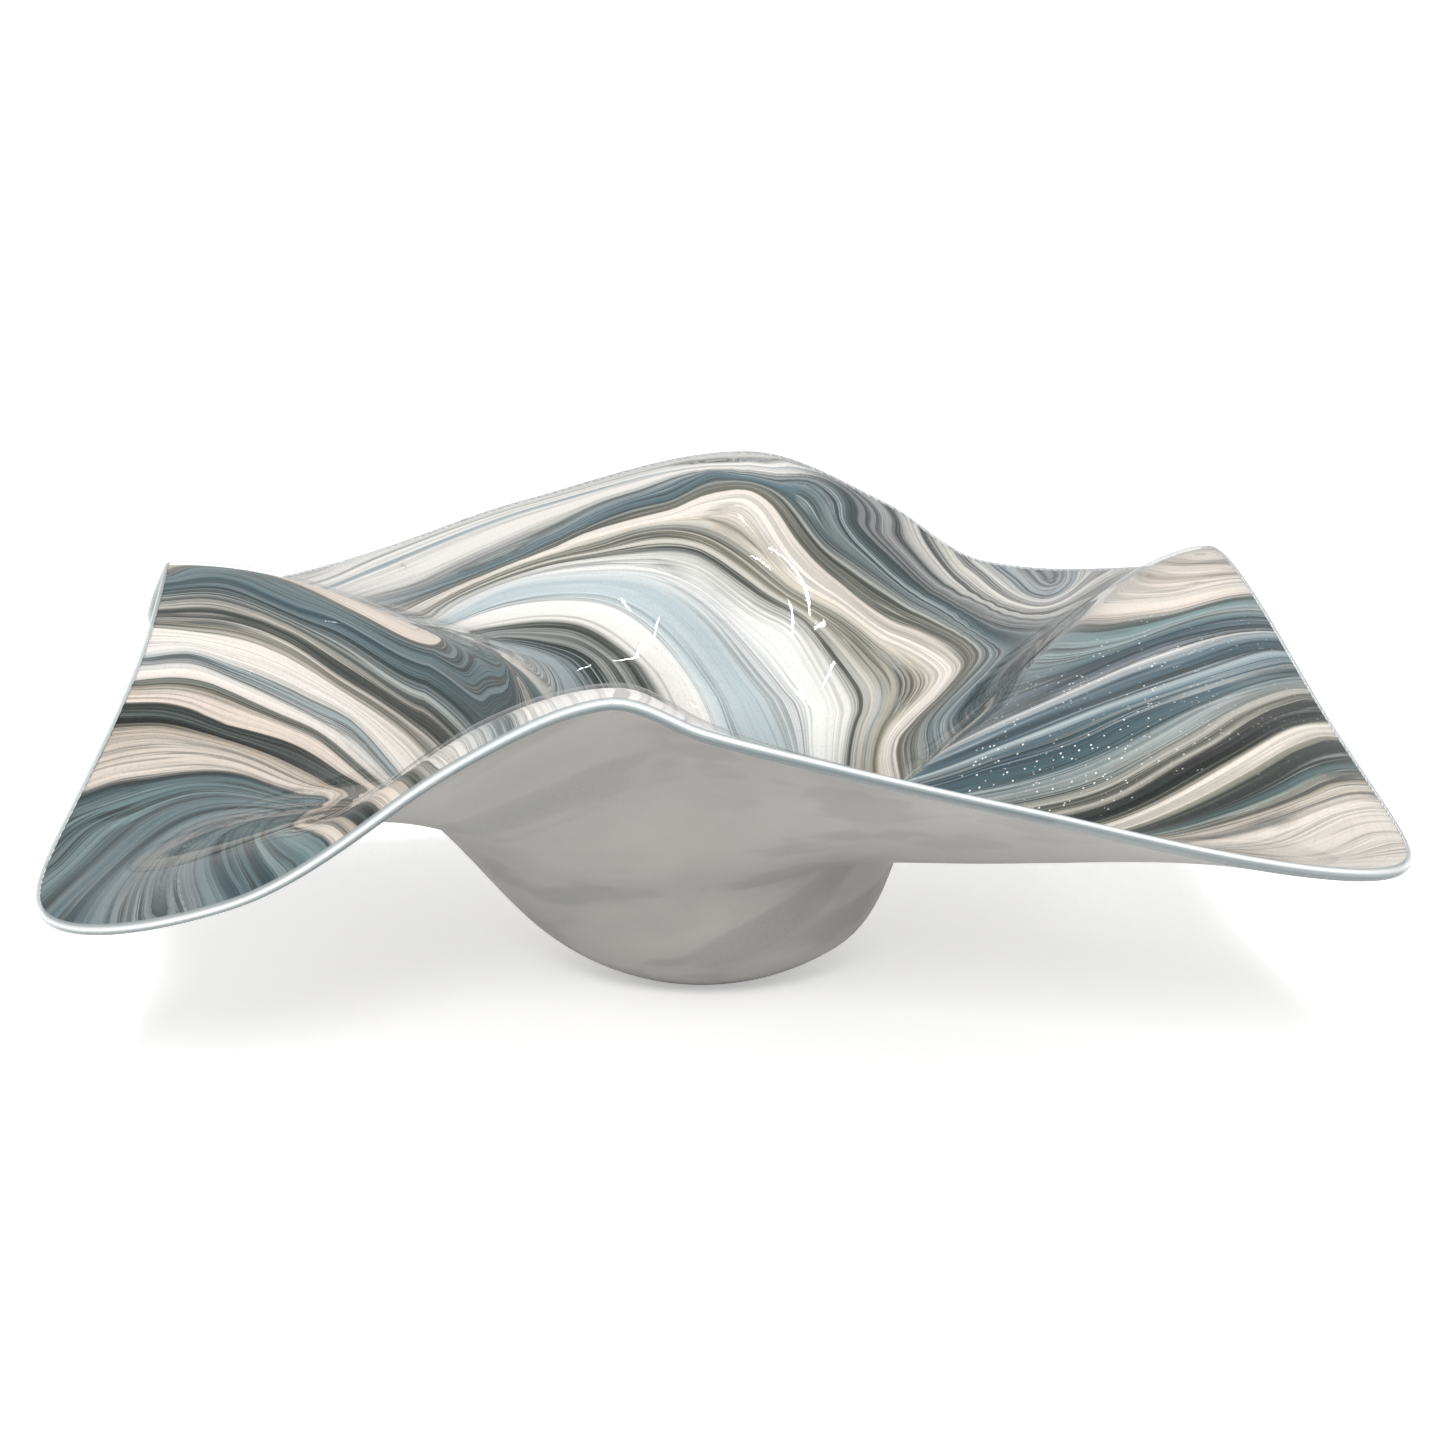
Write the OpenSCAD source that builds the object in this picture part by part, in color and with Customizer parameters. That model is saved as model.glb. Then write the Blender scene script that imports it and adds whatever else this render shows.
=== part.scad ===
// Wavy square art glass centrepiece bowl: one blown and slumped laminate of grey opal backing,
// marbled colour glass and clear casing, on a small ground foot, with a fire-polished clear lip.
// Millimetres, +Z up, origin at the centre of the foot's ground face, front fold towards -Y.

/* [Overall] */
// Width of the sheet across X, rim centre line to rim centre line, at the square plan's edges
width = 456; // [380:1:560]
// Depth of the sheet across Y at the square plan's edges
depth = 427; // [350:1:530]
// How far the sheet's middle sits behind the foot
depth_shift = 2.5; // [-12:0.5:12]
// Squareness of the plan: 2 is an ellipse, larger has tighter corners
squareness = 9; // [3:0.5:14]
// Gain on the height of the four folds over the low corners
fold_gain = 1.0; // [0.75:0.01:1.2]
// Height of the rim that the folds rise and fall about
rim_level = 124; // [104:1:150]

/* [Cup] */
// Outside radius of the blown round bottom
cup_radius = 98; // [86:1:118]
// Plan radius at which the sheet leaves the round bottom
cup_edge = 56; // [47:1:64]
// Gain on the plan radius of the shoulder, where the cup's wall turns out into the brim
shoulder_gain = 1.0; // [0.86:0.01:1.2]

/* [Foot] */
// Radius of the ground flat that the bowl stands on
foot_radius = 20; // [15:0.5:25]
// Height of the ground foot disc, polished before the sheet was slumped
foot_height = 1.4; // [0.8:0.1:2.2]

/* [Glass layers] */
// Thickness of the grey opal backing
backing_thickness = 2.4; // [1.6:0.1:3.2]
// Thickness of the marbled colour layer
colour_thickness = 1.0; // [0.6:0.1:1.6]
// Thickness of the clear casing over the colour
casing_thickness = 1.6; // [1.0:0.1:2.4]
// Extra glass that gathers in the middle of the cup
base_gather = 3.4; // [2.6:0.1:5]
// How far the fire-polished clear lip bulges past the layers' edge
lip_bulge = 2.5; // [1.5:0.1:3.5]

/* [Hidden] */

around = 96;              // sections round the bowl
corner_crowd = 5.7;       // degrees by which the sections crowd towards the corners
cup_rings = 3;            // rings from the foot's edge to the cup's edge
wall_rings = 3;           // rings up the cup's wall to the shoulder
brim_rings = 7;           // rings from the shoulder to the rim
rings = cup_rings + wall_rings + brim_rings;
lip_steps = 6;            // facets round the lip's half circle
wall = backing_thickness + colour_thickness + casing_thickness;

// Heights above the ground face of the unground sphere's centre, and the foot disc's upper radius
cup_centre = sqrt(cup_radius * cup_radius - foot_radius * foot_radius);
foot_top_radius = sqrt(cup_radius * cup_radius - (cup_centre - foot_height) * (cup_centre - foot_height));
cup_edge_height = cup_centre - sqrt(cup_radius * cup_radius - cup_edge * cup_edge);
cup_edge_slope = asin(cup_edge / cup_radius);

// The sheet's underside, direction by direction. Each row: direction, rim height, lip slope, pull of the
// rim inwards (per cent), shoulder radius, shoulder height, slope at the shoulder.
ROWS = [
    [  5, 140, -15,  8,  90,  75, 50],   // right fold
    [ 25, 145,   0, 10, 100,  75, 25],   // back of the right fold
    [ 45, 120,   5,  8, 105,  80, 15],   // back right corner, low
    [ 60, 120,  10,  4, 100,  80, 25],   // level stretch beside it
    [ 70, 145,  10,  2,  95,  85, 35],   // rising to the back fold
    [ 85, 165,  -5, -2,  95,  85, 50],   // back fold, the highest
    [110, 145,   0,  2,  95, 100, 40],   // falling to the left
    [135, 115,   0, 10, 100, 105, 20],   // back left corner, low
    [155, 115, -30,  3, 100, 115, 15],   // flares out behind the left fold
    [180, 155,   0, 12, 105, 120, 40],   // left fold
    [200, 125,   5, 10, 110,  75, 45],   // falling to the front
    [220,  75, -15,  0, 105,  65, 40],   // front left corner, the lowest
    [235,  85, -40, -3, 100,  60, 35],   // lip rolled outwards
    [250, 130, -35, -2,  90,  55, 35],   // lip rolled outwards, steep rise
    [262, 150, -10, -2,  90,  55, 40],   // front fold
    [270, 140,   0, -3,  85,  55, 40],   // sharp fall beside it
    [280, 130,  10, -4,  85,  55, 35],   // dip beside the front fold
    [295, 115,  15, -4,  80,  55, 30],   // long fall to the right
    [320,  90,  -5, -5,  80,  65,  0],   // front right corner, low and flat
    [340, 105, -20,  0,  85,  80, 45]];  // rising to the right fold
COUNT = len(ROWS);

function cubic(t, a, b, ma, mb) =
    (2*t*t*t - 3*t*t + 1) * a + (t*t*t - 2*t*t + t) * ma + (3*t*t - 2*t*t*t) * b + (t*t*t - t*t) * mb;
function row(i) = ROWS[(i + COUNT) % COUNT];
function bearing(i) = row(i)[0] + 360 * floor(i / COUNT);
function row_slope(i, c) = (row(i + 1)[c] - row(i - 1)[c]) / (bearing(i + 1) - bearing(i - 1));
// Column c of the rows at direction a, by a cubic through every row
function at(a, c) =
    let (u = a < ROWS[0][0] ? a + 360 : a,
         i = max([for (k = [0 : COUNT - 1]) if (bearing(k) <= u) k]),
         h = bearing(i + 1) - bearing(i))
    cubic((u - bearing(i)) / h, row(i)[c], row(i + 1)[c], row_slope(i, c) * h, row_slope(i + 1, c) * h);

function direction(j) = let (u = 360 * j / around) u + corner_crowd * sin(4 * u);
// Distance from the foot's axis to the square plan's edge
function reach(a) =
    let (y = sin(a), half_depth = depth / 2 + (y > 0 ? depth_shift : -depth_shift))
    pow(pow(abs(cos(a)) / (width / 2), squareness) + pow(abs(y) / half_depth, squareness), -1 / squareness);

// One radial section as [radius, height] for every ring, ring 0 being the axis
function section(a) =
    let (rim_r = reach(a) * (1 - at(a, 3) / 100),
         rim_z = rim_level + fold_gain * (at(a, 1) - rim_level),
         lip = at(a, 2), sr = at(a, 4) * shoulder_gain, sz = at(a, 5), ss = at(a, 6),
         c1 = norm([sr - cup_edge, sz - cup_edge_height]),
         c2 = norm([rim_r - sr, rim_z - sz]))
    [for (i = [0 : rings])
        i <= cup_rings
            ? let (r = i == 0 ? 0 : foot_top_radius + (cup_edge - foot_top_radius) * (i - 1) / (cup_rings - 1))
              [r, cup_centre - sqrt(cup_radius * cup_radius - r * r)]
        : i <= cup_rings + wall_rings
            ? let (t = (i - cup_rings) / wall_rings)
              [cubic(t, cup_edge, sr, c1 * cos(cup_edge_slope), c1 * cos(ss)),
               cubic(t, cup_edge_height, sz, c1 * sin(cup_edge_slope), c1 * sin(ss))]
            : let (t = (i - cup_rings - wall_rings) / brim_rings)
              [cubic(t, sr, rim_r, c2 * cos(ss), c2 * cos(lip)),
               cubic(t, sz, rim_z, c2 * sin(ss), c2 * sin(lip))]];

// Underside points [section][ring], and the sheet's unit normal at each
SHEET = [for (j = [0 : around - 1]) let (a = direction(j)) [for (p = section(a)) [p[0] * cos(a), p[0] * sin(a), p[1]]]];
function pt(j, i) = SHEET[(j + around) % around][i];
NORMAL = [for (j = [0 : around - 1]) [for (i = [0 : rings])
    i == 0 ? [0, 0, 1]
    : let (n = cross(pt(j, min(i + 1, rings)) - pt(j, i - 1), pt(j + 1, i) - pt(j - 1, i))) n / norm(n)]];

// Extra depth of glass over the cup's middle, none from the cup's edge outwards
function gather(p) = let (q = 1 - (p[0] * p[0] + p[1] * p[1]) / (cup_edge * cup_edge)) q > 0 ? base_gather * q * q : 0;
// Level 0 is the underside, ground flat over the foot; the others are interfaces at depth d into the glass
function level(d) = [for (j = [0 : around - 1]) [for (i = [0 : rings])
    d == 0 ? [pt(j, i)[0], pt(j, i)[1], i < 2 ? foot_height : pt(j, i)[2]]
    : pt(j, i) + d * NORMAL[j][i] + [0, 0, gather(pt(j, i))]]];

// A layer of glass between two levels. Points run section by section; ring 0 is one shared point.
module layer(lower, upper, flat_foot = false) {
    n = around;
    function id(side, j, i) = i == 0 ? 2 * n * rings + side : side * n * rings + (j % n) * rings + i - 1;
    polyhedron(
        points = concat(
            [for (j = [0 : n - 1]) for (i = [1 : rings]) lower[j][i]],
            [for (j = [0 : n - 1]) for (i = [1 : rings]) upper[j][i]],
            [lower[0][0], upper[0][0]]),
        faces = concat(
            // upper and lower skins
            [for (j = [0 : n - 1]) for (i = [1 : rings - 1]) for (f = [0 : 3])
                let (a = id(floor(f / 2), j, i), b = id(floor(f / 2), j + 1, i),
                     c = id(floor(f / 2), j + 1, i + 1), d = id(floor(f / 2), j, i + 1))
                [[a, c, b], [a, d, c], [a, b, c], [a, c, d]][f]],
            [for (j = [0 : n - 1]) [id(1, 0, 0), id(1, j + 1, 1), id(1, j, 1)]],
            flat_foot ? [[for (j = [0 : n - 1]) id(0, j, 1)]]
                      : [for (j = [0 : n - 1]) [id(0, 0, 0), id(0, j, 1), id(0, j + 1, 1)]],
            // edge under the lip
            [for (j = [0 : n - 1]) for (f = [0, 1])
                let (a = id(0, j, rings), b = id(0, j + 1, rings), c = id(1, j + 1, rings), d = id(1, j, rings))
                [[a, d, c], [a, c, b]][f]]),
        convexity = 10);
}

// The ground foot: a thin slice off the round bottom, polished flat to stand on
module foot_pad() {
    color([0.52, 0.51, 0.50])
        rotate_extrude($fn = 96)
            polygon([[0, 0], [foot_radius, 0], [foot_top_radius, foot_height], [0, foot_height]]);
}

// Warm grey opal glass, the sheet's whole underside
module grey_backing() {
    color([0.60, 0.59, 0.57]) layer(level(0), level(backing_thickness), flat_foot = true);
}

// Marbled blue, cream and black glass
module marbled_layer() {
    color([0.46, 0.55, 0.58]) layer(level(backing_thickness), level(backing_thickness + colour_thickness));
}

// Clear glass over the marbling
module clear_casing() {
    color([0.86, 0.91, 0.92, 0.35]) layer(level(backing_thickness + colour_thickness), level(wall));
}

// Clear lip, a half round closed over the edges of all three layers
module rim_lip() {
    levels = [level(0), level(backing_thickness), level(backing_thickness + colour_thickness), level(wall)];
    loops = [for (j = [0 : around - 1])
        let (low = levels[0][j][rings], high = levels[3][j][rings], up = (high - low) / 2,
             along = pt(j + 1, rings) - pt(j - 1, rings), across = cross(along, up),
             out = lip_bulge * across / norm(across))
        concat([for (l = levels) l[j][rings]],
               [for (k = [1 : lip_steps - 1]) let (t = 90 - 180 * k / lip_steps)
                   (low + high) / 2 + out * cos(t) + up * sin(t)])];
    m = lip_steps + 3;
    color([0.88, 0.93, 0.93, 0.35])
        polyhedron(
            points = [for (loop = loops) for (p = loop) p],
            faces = [for (j = [0 : around - 1]) for (k = [0 : m - 1]) for (f = [0, 1])
                let (a = j * m + k, b = (j + 1) % around * m + k,
                     c = (j + 1) % around * m + (k + 1) % m, d = j * m + (k + 1) % m)
                [[a, b, c], [a, c, d]][f]],
            convexity = 10);
}

foot_pad();
grey_backing();
marbled_layer();
clear_casing();
rim_lip();
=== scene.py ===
import bpy
import numpy as np
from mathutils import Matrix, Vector


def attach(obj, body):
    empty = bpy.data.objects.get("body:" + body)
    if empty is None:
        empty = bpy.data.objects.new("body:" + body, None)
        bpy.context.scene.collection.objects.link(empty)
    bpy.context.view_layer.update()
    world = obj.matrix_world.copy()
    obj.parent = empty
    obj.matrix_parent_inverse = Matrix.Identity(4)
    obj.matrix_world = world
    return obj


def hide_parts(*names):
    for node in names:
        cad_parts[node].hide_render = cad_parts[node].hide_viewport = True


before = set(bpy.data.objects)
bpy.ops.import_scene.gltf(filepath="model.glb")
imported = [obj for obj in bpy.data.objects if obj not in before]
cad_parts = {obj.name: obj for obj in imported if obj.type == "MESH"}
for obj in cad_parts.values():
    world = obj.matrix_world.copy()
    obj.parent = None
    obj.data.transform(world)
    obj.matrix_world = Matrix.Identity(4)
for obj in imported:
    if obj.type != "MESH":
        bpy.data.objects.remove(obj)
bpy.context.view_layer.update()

# The grey opal backing: the bowl's whole outer skin, warm grey glass with faint smoke drawn through it.
# It was blown round at the bottom, cut open, and slumped into a square sheet with four folds. Here it is
# made as a skin on a grid of directions and rings, with a second skin 2.4 mm above it.
FOOT_RADIUS, FOOT_HEIGHT, GROUND_RADIUS = 0.020, 0.0014, 0.0258
CUP_RADIUS, CUP_EDGE = 0.098, 0.056
HALF_WIDTH, HALF_DEPTH_BACK, HALF_DEPTH_FRONT, SQUARENESS = 0.228, 0.216, 0.211, 9
BACKING, COLOUR, CASING, GATHER = 0.0024, 0.0010, 0.0016, 0.0034
DIRECTIONS = 480
# direction in degrees, rim height, lip slope in degrees, pull of the rim inwards in per cent,
# shoulder radius, shoulder height, shoulder slope in degrees; lengths in millimetres
ROWS = np.array([
    (5, 140, -15, 8, 90, 75, 50), (25, 145, 0, 10, 100, 75, 25), (45, 120, 5, 8, 105, 80, 15),
    (60, 120, 10, 4, 100, 80, 25), (70, 145, 10, 2, 95, 85, 35), (85, 165, -5, -2, 95, 85, 50),
    (110, 145, 0, 2, 95, 100, 40), (135, 115, 0, 10, 100, 105, 20), (155, 115, -30, 3, 100, 115, 15),
    (180, 155, 0, 12, 105, 120, 40), (200, 125, 5, 10, 110, 75, 45), (220, 75, -15, 0, 105, 65, 40),
    (235, 85, -40, -3, 100, 60, 35), (250, 130, -35, -2, 90, 55, 35), (262, 150, -10, -2, 90, 55, 40),
    (270, 140, 0, -3, 85, 55, 40), (280, 130, 10, -4, 85, 55, 35), (295, 115, 15, -4, 80, 55, 30),
    (320, 90, -5, -5, 80, 65, 0), (340, 105, -20, 0, 85, 80, 45)], float)


def cubic(t, start, end, start_slope, end_slope):
    """Hermite's cubic: leaves start with start_slope at t = 0 and meets end with end_slope at t = 1."""
    return ((2 * t - 3) * t * t + 1) * start + ((t - 2) * t + 1) * t * start_slope \
        + (3 - 2 * t) * t * t * end + (t - 1) * t * t * end_slope


def round_the_bowl(degrees):
    """The six columns of ROWS at each direction, by a closed cubic through every row whose slope at a row
    is the rise from the row before it to the row after it over the angle between them."""
    bearing = np.concatenate([ROWS[:, 0] - 360, ROWS[:, 0], ROWS[:, 0] + 360])
    value = np.vstack([ROWS[:, 1:]] * 3)
    slope = (np.roll(value, -1, 0) - np.roll(value, 1, 0)) / (
        (np.roll(bearing, -1) - np.roll(bearing, 1) + 1080) % 1080)[:, None]
    i = np.searchsorted(bearing, degrees, side="right") - 1
    span = (bearing[i + 1] - bearing[i])[:, None]
    t = (degrees - bearing[i])[:, None] / span
    return cubic(t, value[i], value[i + 1], slope[i] * span, slope[i + 1] * span).T


def reach(radians):
    """Distance to the rounded square plan's edge: (|cos| / half width)^9 + (|sin| / half depth)^9, to the
    power -1/9, where 9 is the squareness."""
    y = np.sin(radians)
    half_depth = np.where(y > 0, HALF_DEPTH_BACK, HALF_DEPTH_FRONT)
    squared = (np.abs(np.cos(radians)) / HALF_WIDTH) ** SQUARENESS + (np.abs(y) / half_depth) ** SQUARENESS
    return squared ** (-1 / SQUARENESS)


# The directions, up to 4 degrees off even steps so that they are closer together at the corners. The rim is
# 0.3 mm lower than its rows, which keeps the smoother sheet within the solid's height.
EVEN = np.arange(DIRECTIONS) * 2 * np.pi / DIRECTIONS
ANGLE = EVEN + np.radians(4.0) * np.sin(4 * EVEN)
RIM_DROP = 0.0003
RIM_Z, LIP, PULL, SHOULDER_R, SHOULDER_Z, SHOULDER = round_the_bowl(np.degrees(ANGLE) % 360)
RIM_Z, SHOULDER_R, SHOULDER_Z = RIM_Z / 1000 - RIM_DROP, SHOULDER_R / 1000, SHOULDER_Z / 1000
LIP, SHOULDER = np.radians(LIP), np.radians(SHOULDER)
RIM_R = reach(ANGLE) * (1 - PULL / 100)


def sheet(run):
    """The sheet's underside at each place in run and each direction, as an array of points. A run of 0 to 1
    is the round cup, radius = run x cup edge and height = centre - sqrt(R^2 - radius^2). 1 to 2 is the wall
    up to the shoulder and 2 to 3 the brim out to the rim, each a cubic in radius and in height."""
    centre = np.sqrt(CUP_RADIUS ** 2 - FOOT_RADIUS ** 2)
    edge_z = centre - np.sqrt(CUP_RADIUS ** 2 - CUP_EDGE ** 2)
    edge = np.arcsin(CUP_EDGE / CUP_RADIUS)
    w = run[:, None]
    cup_r = np.clip(w, 0, 1) * CUP_EDGE + 0 * ANGLE
    cup_z = centre - np.sqrt(CUP_RADIUS ** 2 - cup_r ** 2)
    c1 = np.hypot(SHOULDER_R - CUP_EDGE, SHOULDER_Z - edge_z)
    c2 = np.hypot(RIM_R - SHOULDER_R, RIM_Z - SHOULDER_Z)
    t = np.clip(w - 1, 0, 1)
    wall_r = cubic(t, CUP_EDGE, SHOULDER_R, c1 * np.cos(edge), c1 * np.cos(SHOULDER))
    wall_z = cubic(t, edge_z, SHOULDER_Z, c1 * np.sin(edge), c1 * np.sin(SHOULDER))
    t = np.clip(w - 2, 0, 1)
    brim_r = cubic(t, SHOULDER_R, RIM_R, c2 * np.cos(SHOULDER), c2 * np.cos(LIP))
    brim_z = cubic(t, SHOULDER_Z, RIM_Z, c2 * np.sin(SHOULDER), c2 * np.sin(LIP))
    r = np.where(w <= 1, cup_r, np.where(w <= 2, wall_r, brim_r))
    z = np.where(w <= 1, cup_z, np.where(w <= 2, wall_z, brim_z))
    return np.stack([r * np.cos(ANGLE), r * np.sin(ANGLE), z], -1)


def rings(cup, wall, brim):
    """Places along the run from the first ring outside the pole to the rim: even steps over the cup and the
    wall, and 2 + t x (1.25 - 0.25 t) over the brim, which is closer together towards the rim."""
    t = np.linspace(0, 1, brim + 1)[1:]
    return np.concatenate([np.linspace(0, 1, cup + 1)[1:], 1 + np.linspace(0, 1, wall + 1)[1:],
                           2 + t * (1.25 - 0.25 * t)])


def skin(run, depth):
    """The sheet's underside, moved by depth along its normal, and up by the gather, which is
    3.4 mm x (1 - (radius / cup edge)^2)^2 inside the cup. At depth 0 it is ground flat over the foot."""
    step = 0.002
    p = sheet(run)
    if np.isscalar(depth) and depth == 0:
        ground_off = np.hypot(p[..., 0], p[..., 1]) < GROUND_RADIUS
        p[..., 2] = np.where(ground_off, FOOT_HEIGHT, p[..., 2])
        return p
    low, high = np.maximum(run - step, 1e-3), np.minimum(run + step, 3.0)
    along = sheet(high) - sheet(low)
    across = np.roll(p, -1, 1) - np.roll(p, 1, 1)
    normal = np.cross(along, across)
    normal /= np.linalg.norm(normal, axis=-1, keepdims=True)
    q = np.clip(1 - (p[..., 0] ** 2 + p[..., 1] ** 2) / CUP_EDGE ** 2, 0, 1)
    out = p + (depth if np.isscalar(depth) else depth[:, None, None]) * normal
    out[..., 2] += GATHER * q * q
    return out


def blown(name, upper, lower, upper_pole, lower_pole, slots):
    """A closed layer: an upper and a lower skin, each a fan round its pole and then four-sided faces ring by
    ring, with a band of faces between their rims. Columns run anticlockwise, so all faces point outwards."""
    n, a, b = DIRECTIONS, len(upper), len(lower)
    points = np.vstack([upper.reshape(-1, 3), lower.reshape(-1, 3), [upper_pole], [lower_pole]])
    j = np.arange(n)
    k = (j + 1) % n

    def quads(first, count):
        i = first + np.arange(count - 1)[:, None] * n
        return np.stack([i + j, i + n + j, i + n + k, i + k], -1).reshape(-1, 4)

    top, under = quads(0, a), quads(a * n, b)[:, ::-1]
    edge_low, edge_high = a * n + (b - 1) * n, (a - 1) * n
    band = np.stack([edge_low + j, edge_low + k, edge_high + k, edge_high + j], -1)
    four = np.vstack([top, under, band])
    pole = (a + b) * n
    three = np.vstack([np.stack([np.full(n, pole), j, k], -1),
                       np.stack([np.full(n, pole + 1), a * n + k, a * n + j], -1)])
    mesh = bpy.data.meshes.new(name)
    mesh.vertices.add(len(points))
    mesh.vertices.foreach_set("co", points.ravel().astype(np.float32))
    mesh.loops.add(four.size + three.size)
    mesh.loops.foreach_set("vertex_index", np.concatenate([four.ravel(), three.ravel()]).astype(np.int32))
    mesh.polygons.add(len(four) + len(three))
    mesh.polygons.foreach_set("loop_start", np.concatenate(
        [np.arange(len(four)) * 4, four.size + np.arange(len(three)) * 3]).astype(np.int32))
    mesh.update(calc_edges=True)
    mesh.validate()
    mesh.polygons.foreach_set("use_smooth", np.ones(len(mesh.polygons), bool))
    mesh.set_sharp_from_angle(angle=np.radians(50))
    piece = bpy.data.objects.new(name, mesh)
    bpy.context.collection.objects.link(piece)
    for material in slots:
        mesh.materials.append(material)
    return piece


class Mix:
    """A socket in a glass recipe. Arithmetic on it adds the Math node that does it, and node() adds any
    other."""

    def __init__(self, tree, socket=None):
        self.tree, self.socket = tree, socket

    def node(self, kind, inputs=(), output=0, stops=None, **settings):
        """Adds a node: its settings and any ramp stops (place, colour) come first, then its inputs."""
        made = self.tree.nodes.new(kind)
        for key, value in settings.items():
            setattr(made, key, value)
        if stops:
            elements = made.color_ramp.elements
            while len(elements) < len(stops):
                elements.new(1.0)
            for element, (place, colour) in zip(elements, stops):
                element.position, element.color = place, colour
        for key, value in dict(inputs).items():
            if isinstance(value, Mix):
                self.tree.links.new(value.socket, made.inputs[key])
            else:
                made.inputs[key].default_value = value
        return Mix(self.tree, made.outputs[output])

    def math(self, operation, *values):
        """The Math node of that operation on the given values or sockets."""
        return self.node("ShaderNodeMath", dict(enumerate(values)), operation=operation)

    def __add__(self, other):
        return self.math("ADD", self, other)

    def __sub__(self, other):
        return self.math("SUBTRACT", self, other)

    def __rsub__(self, other):
        return self.math("SUBTRACT", other, self)

    def __mul__(self, other):
        return self.math("MULTIPLY", self, other)

    __radd__, __rmul__ = __add__, __mul__

    def between(self, low, high):
        """0 below low, 1 above high and a smooth step from one to the other."""
        return self.node("ShaderNodeMapRange", {0: self, 1: low, 2: high, 3: 0.0, 4: 1.0},
                         interpolation_type="SMOOTHSTEP")

    def blend(self, first, second):
        """first where this is 0 and second where it is 1, as a colour."""
        return self.node("ShaderNodeMix", {0: self, 6: first, 7: second}, 2, data_type="RGBA")


def recipe(name):
    """A new material with an empty node tree and its output."""
    material = bpy.data.materials.new(name)
    material.use_nodes = True
    tree = material.node_tree
    tree.nodes.clear()
    return material, Mix(tree), tree.nodes.new("ShaderNodeOutputMaterial")


def light_of(red, green, blue, gain=1.0):
    """A colour given from 0 to 255 as the eye sees it, as linear light with alpha 1."""
    c = np.array([red, green, blue]) / 255
    c = np.where(c <= 0.04045, c / 12.92, ((c + 0.055) / 1.055) ** 2.4) * gain
    return (*np.clip(c, 0, 1).tolist(), 1.0)


grey_opal, mix, out = recipe("grey_opal_glass")
place = mix.node("ShaderNodeTexCoord", output=3)
drift = mix.node("ShaderNodeTexNoise", {0: place, "Scale": 4.0, "Detail": 1.0}, 1)
swept = mix.node("ShaderNodeVectorMath", {0: drift, 3: 0.16}, operation="SCALE")
swept = mix.node("ShaderNodeVectorMath", {0: place, 1: swept}, operation="ADD")
swept = mix.node("ShaderNodeMapping", {0: swept, "Rotation": (0.3, -0.7, 0.2), "Scale": (0.24, 0.10, 0.050)},
                 vector_type="TEXTURE")
smoke = mix.node("ShaderNodeTexNoise", {0: swept, "Scale": 1.0, "Detail": 3.0, "Roughness": 0.5})
veil = mix.node("ShaderNodeTexNoise", {0: swept, "Scale": 2.3, "Detail": 2.0})
fine = mix.node("ShaderNodeTexNoise", {0: place, "Scale": 900.0, "Detail": 1.0})
colour = smoke.between(0.36, 0.68).blend(light_of(180, 177, 173), light_of(167, 165, 161))
colour = (veil.between(0.50, 0.62) * 0.50).blend(colour, light_of(138, 140, 137))
colour = (fine.between(0.3, 0.7) * 0.10).blend(colour, light_of(198, 196, 192))
opal = mix.node("ShaderNodeBsdfPrincipled", {
    "Base Color": colour, "Roughness": smoke * 0.14 + 0.24, "IOR": 1.5, "Coat Weight": 0.35,
    "Coat Roughness": 0.12})
mix.tree.links.new(opal.socket, out.inputs[0])

# The middle of the cup's floor before it is ground: centre - R, plus the gather, which is whole there
CUP_FLOOR = np.sqrt(CUP_RADIUS ** 2 - FOOT_RADIUS ** 2) - CUP_RADIUS + GATHER
under_run = rings(22, 24, 44)
hidden_run = rings(10, 12, 30)
backing = blown("grey_backing_glass", skin(hidden_run, BACKING), skin(under_run, 0),
                (0, 0, CUP_FLOOR + BACKING), (0, 0, FOOT_HEIGHT), [grey_opal])
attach(backing, "root")
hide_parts("grey_backing")

# The foot: the one place where the bowl is cut, a disc ground and polished flat so that it stands level.
# Same grey opal, but its cut face is satin, with fine turning marks round its middle.
foot_finish, mix, out = recipe("ground_foot_glass")
place = mix.node("ShaderNodeTexCoord", output=3)
turned = mix.node("ShaderNodeTexWave", {0: place, "Scale": 260.0, "Distortion": 1.5, "Detail": 2.0,
                                        "Detail Scale": 8.0}, 1, wave_type="RINGS", rings_direction="Z")
cloud = mix.node("ShaderNodeTexNoise", {0: place, "Scale": 60.0, "Detail": 4.0})
colour = cloud.between(0.35, 0.7).blend(light_of(172, 170, 167), light_of(150, 149, 146))
ground = mix.node("ShaderNodeBsdfPrincipled", {
    "Base Color": colour, "Roughness": turned * 0.12 + 0.42, "IOR": 1.5})
mix.tree.links.new(ground.socket, out.inputs[0])
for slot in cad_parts["foot_pad"].material_slots:
    slot.material = foot_finish

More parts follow.
